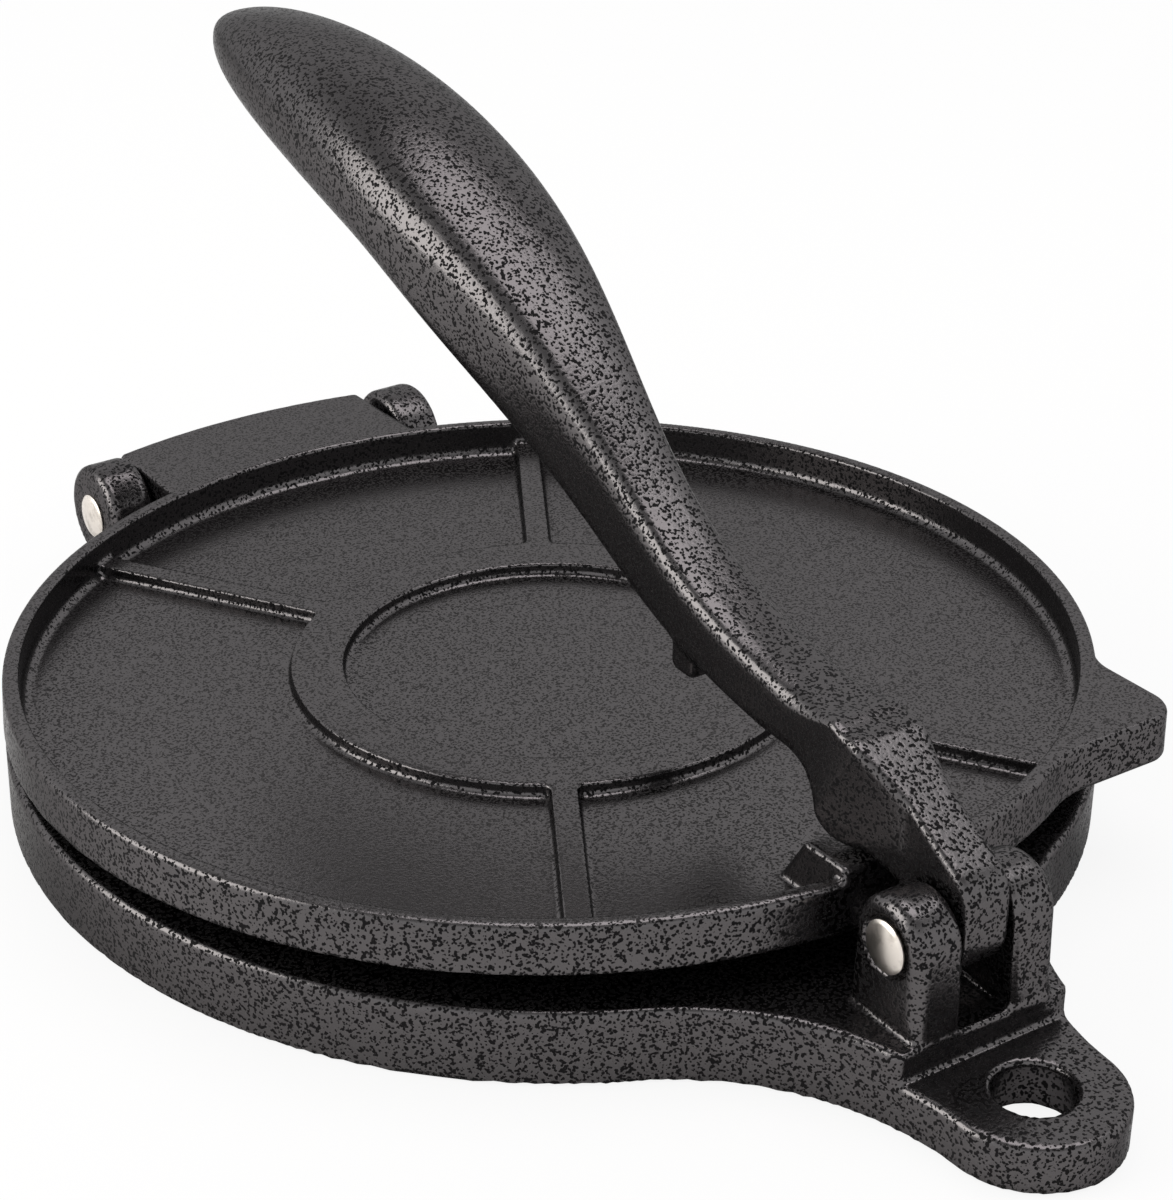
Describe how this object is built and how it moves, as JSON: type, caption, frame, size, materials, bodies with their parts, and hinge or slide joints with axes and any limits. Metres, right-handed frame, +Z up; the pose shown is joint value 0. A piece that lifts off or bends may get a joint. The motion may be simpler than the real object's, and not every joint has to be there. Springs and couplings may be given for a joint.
{
  "type": "tortilla press",
  "caption": "Cast tortilla press: a round base and a ribbed, back-hinged top plate, closed by a long cam lever with a teardrop grip.",
  "frame": {"origin": "centre of the round base, on the table under its centre foot", "axes": "+Z up, +Y from the plates' centre to the back hinge, so the lever's bracket and the hanging eye are on the -Y side, +X to the right for someone who faces the lever"},
  "size_m": [0.2072, 0.2796, 0.1226],
  "materials": {
    "casting": "cast, with a dark grey and black hammered lacquer, glossy",
    "pin": "nickel-plated steel, satin, slightly worn"
  },
  "bodies": {
    "base": {"base_plate": "casting", "lever_pin": "pin", "hinge_pin": "pin"},
    "lever": {"lever": "casting"},
    "top_plate": {"top_plate": "casting"}
  },
  "joints": [
    {"name": "lever_swing", "type": "hinge", "parent": "base", "child": "lever", "pos_m": [0, -0.117, 0.0295], "axis": [1, 0, 0], "range_deg": [-18.5, 155]},
    {"name": "plate_hinge", "type": "hinge", "parent": "base", "child": "top_plate", "pos_m": [0, 0.1144, 0.0147], "axis": [-1, 0, 0], "range_deg": [-1.85, 15.5]}
  ],
  "couplings": [
    {"joint": "plate_hinge", "follows": "lever_swing", "ratio": 0.1}
  ]
}
